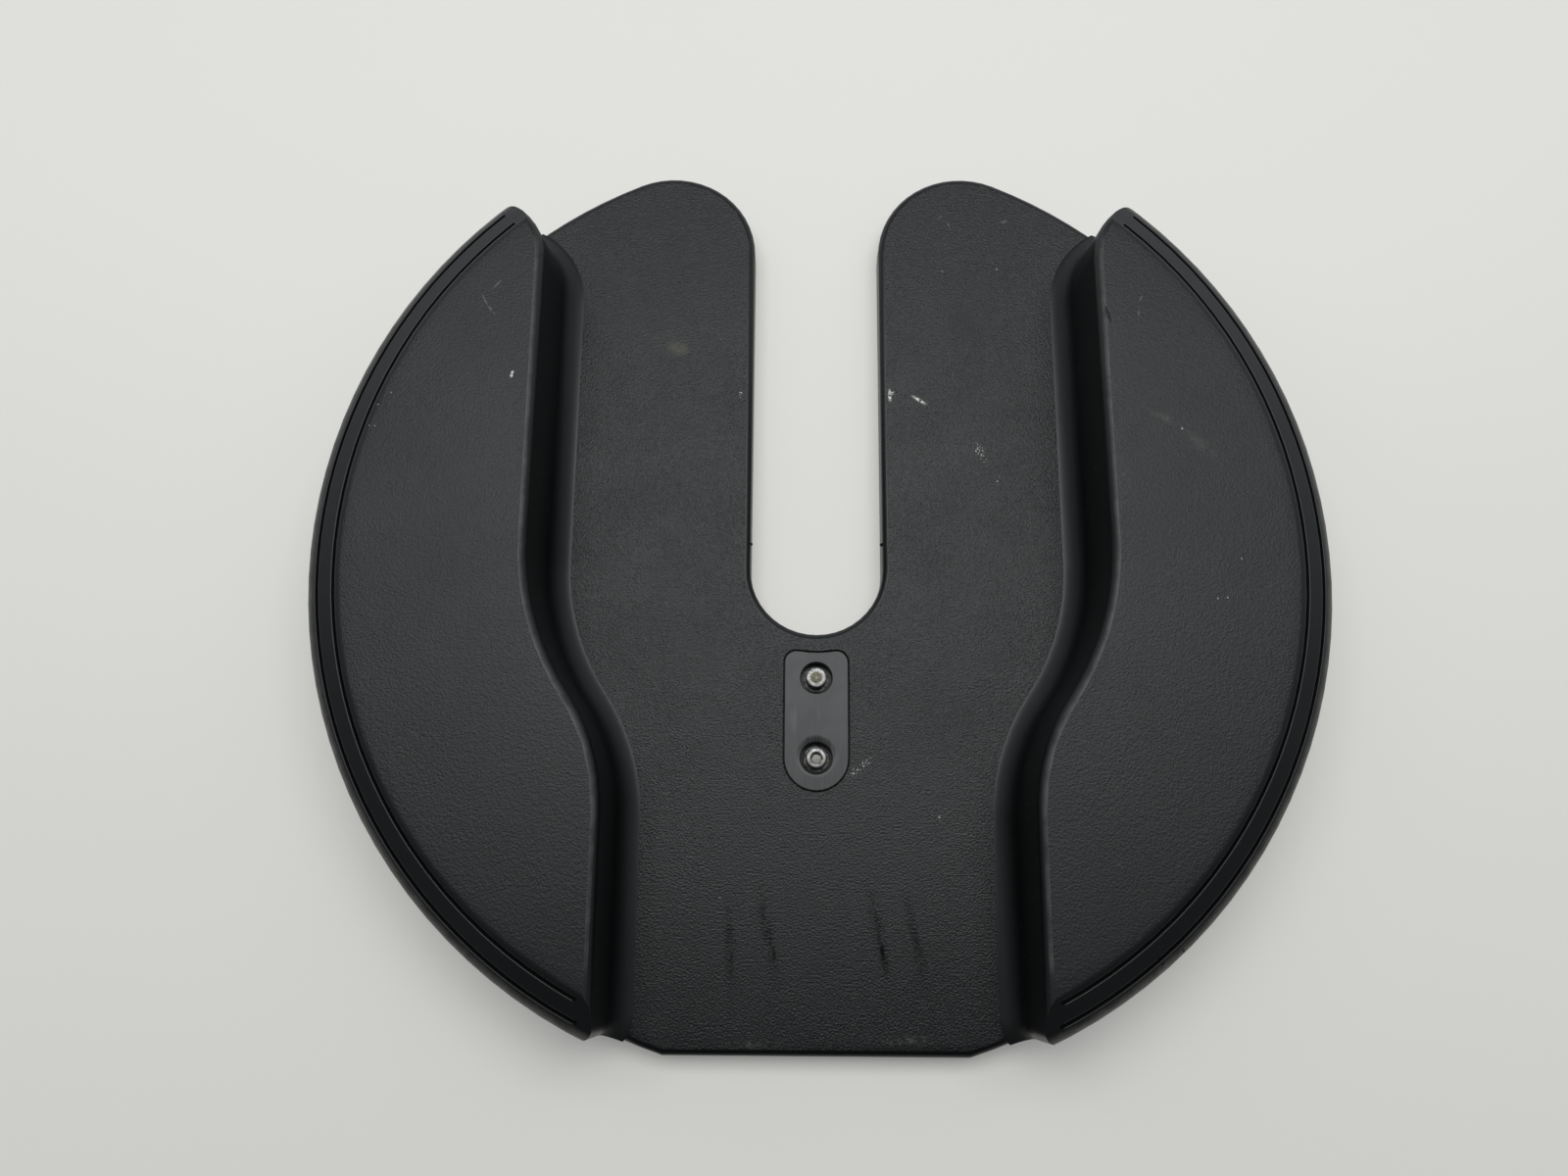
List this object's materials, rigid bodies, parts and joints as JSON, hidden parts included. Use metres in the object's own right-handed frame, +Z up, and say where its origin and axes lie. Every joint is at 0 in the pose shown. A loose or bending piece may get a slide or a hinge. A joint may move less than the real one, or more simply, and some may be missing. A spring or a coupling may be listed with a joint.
{
  "type": "surface cleaner splash guard",
  "caption": "Moulded round guard of a rotary surface cleaner: open neck slot, sunken channel between raised hollow wings, and a screwed clip plate at the slot's end.",
  "frame": {"origin": "centre of the bounding box, on the plane that the rim rests on", "axes": "+X across both wings, +Y towards the slot's open mouth, +Z up"},
  "size_m": [0.26, 0.245, 0.036],
  "materials": {
    "shell": "fine spark-eroded grain, smooth along the rim and on the channel walls",
    "clip": "smooth satin",
    "nut_plate": "zinc plated",
    "screws": "dull zinc with light corrosion",
    "washers": "dull zinc"
  },
  "bodies": {
    "root": {"guard_shell": "shell", "clip_plate": "clip", "nut_plate": "nut_plate", "front_screw": "screws", "rear_screw": "screws", "front_washer": "washers", "rear_washer": "washers"}
  },
  "joints": []
}
